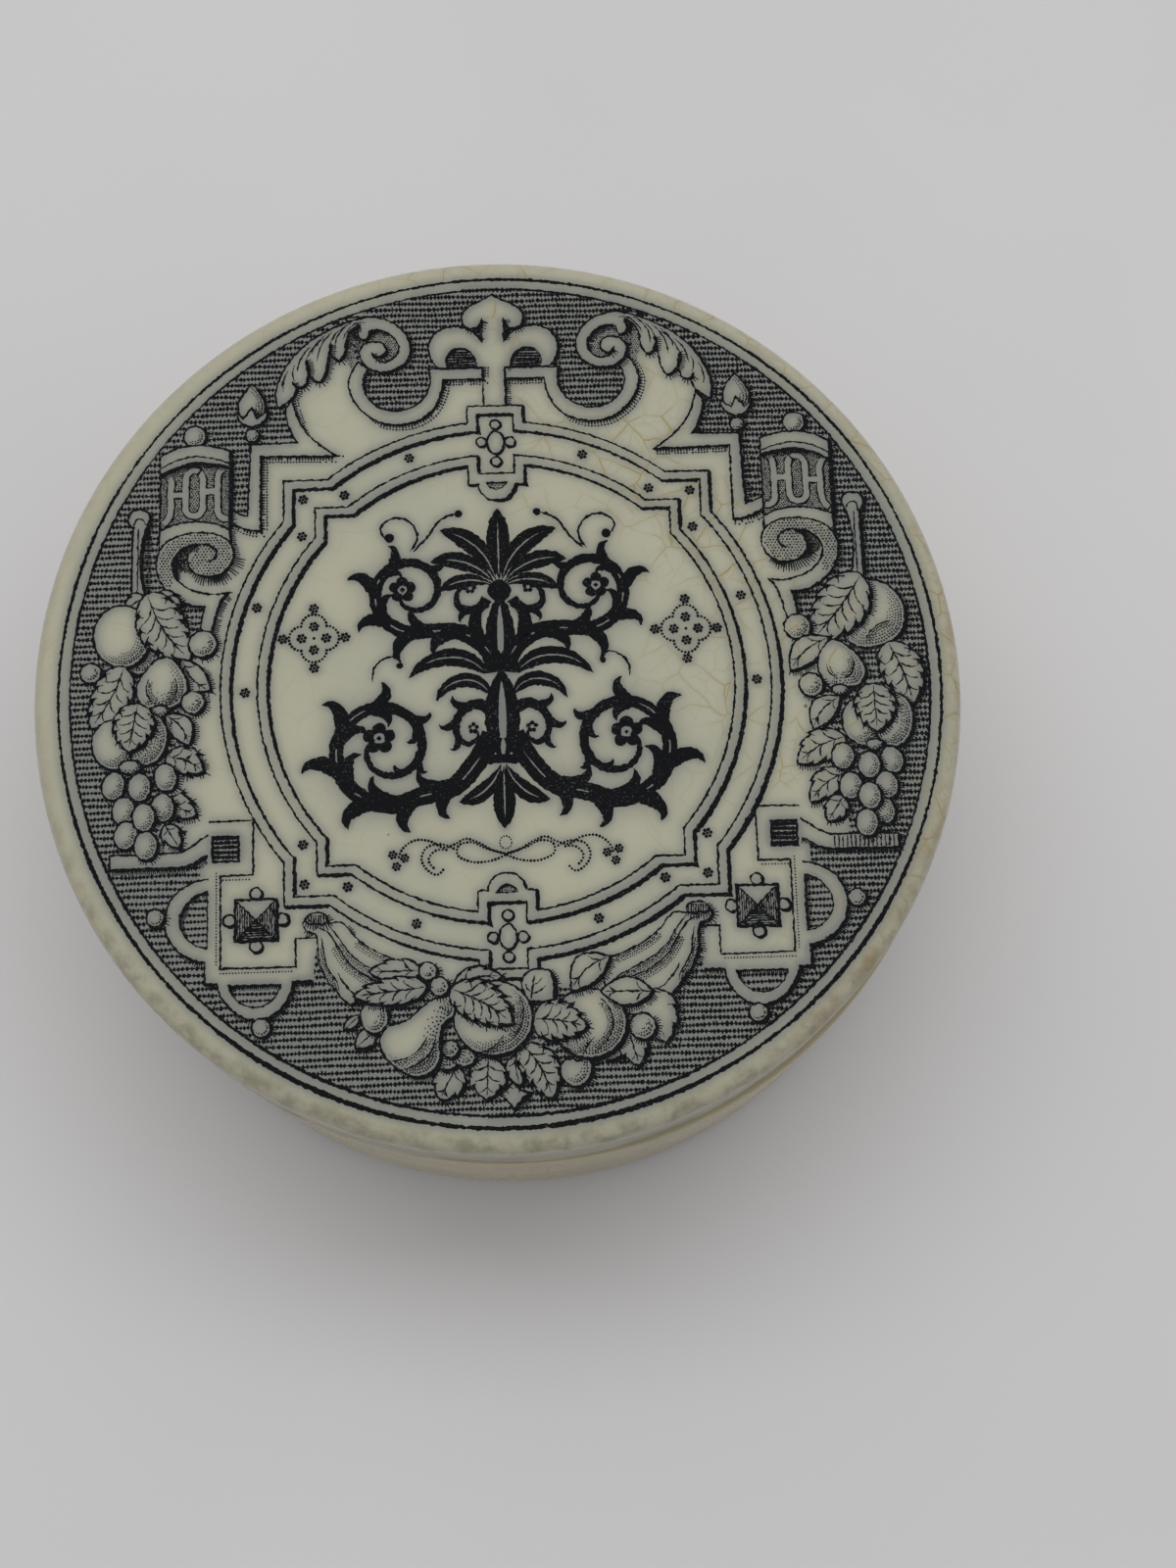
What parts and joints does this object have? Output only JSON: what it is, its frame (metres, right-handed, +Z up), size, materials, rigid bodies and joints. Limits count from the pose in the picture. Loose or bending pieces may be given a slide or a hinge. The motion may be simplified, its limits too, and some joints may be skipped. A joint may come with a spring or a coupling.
{
  "type": "lidded cosmetic pot",
  "caption": "Shallow round glazed earthenware pot with a crowned cap lid that lifts off its neck, standing on a recessed foot ring.",
  "frame": {"origin": "centre of the foot ring's underside, on the surface that the pot stands on", "axes": "+Z up along the pot's axis; -Y towards the viewer, at the foot of the lid's ornament; +X to the right"},
  "size_m": [0.08, 0.08, 0.0385],
  "materials": {
    "pot_glaze": "glossy, warm cream",
    "lid_glaze": "glossy, pale cream, dark transfer print under the glaze, fine crazing"
  },
  "bodies": {
    "pot": {"pot": "pot_glaze"},
    "lid": {"lid": "lid_glaze"}
  },
  "joints": [
    {"name": "lid_lift", "type": "slide", "parent": "pot", "child": "lid", "axis": [0, 0, 1], "range_m": [0, 0.06]}
  ]
}
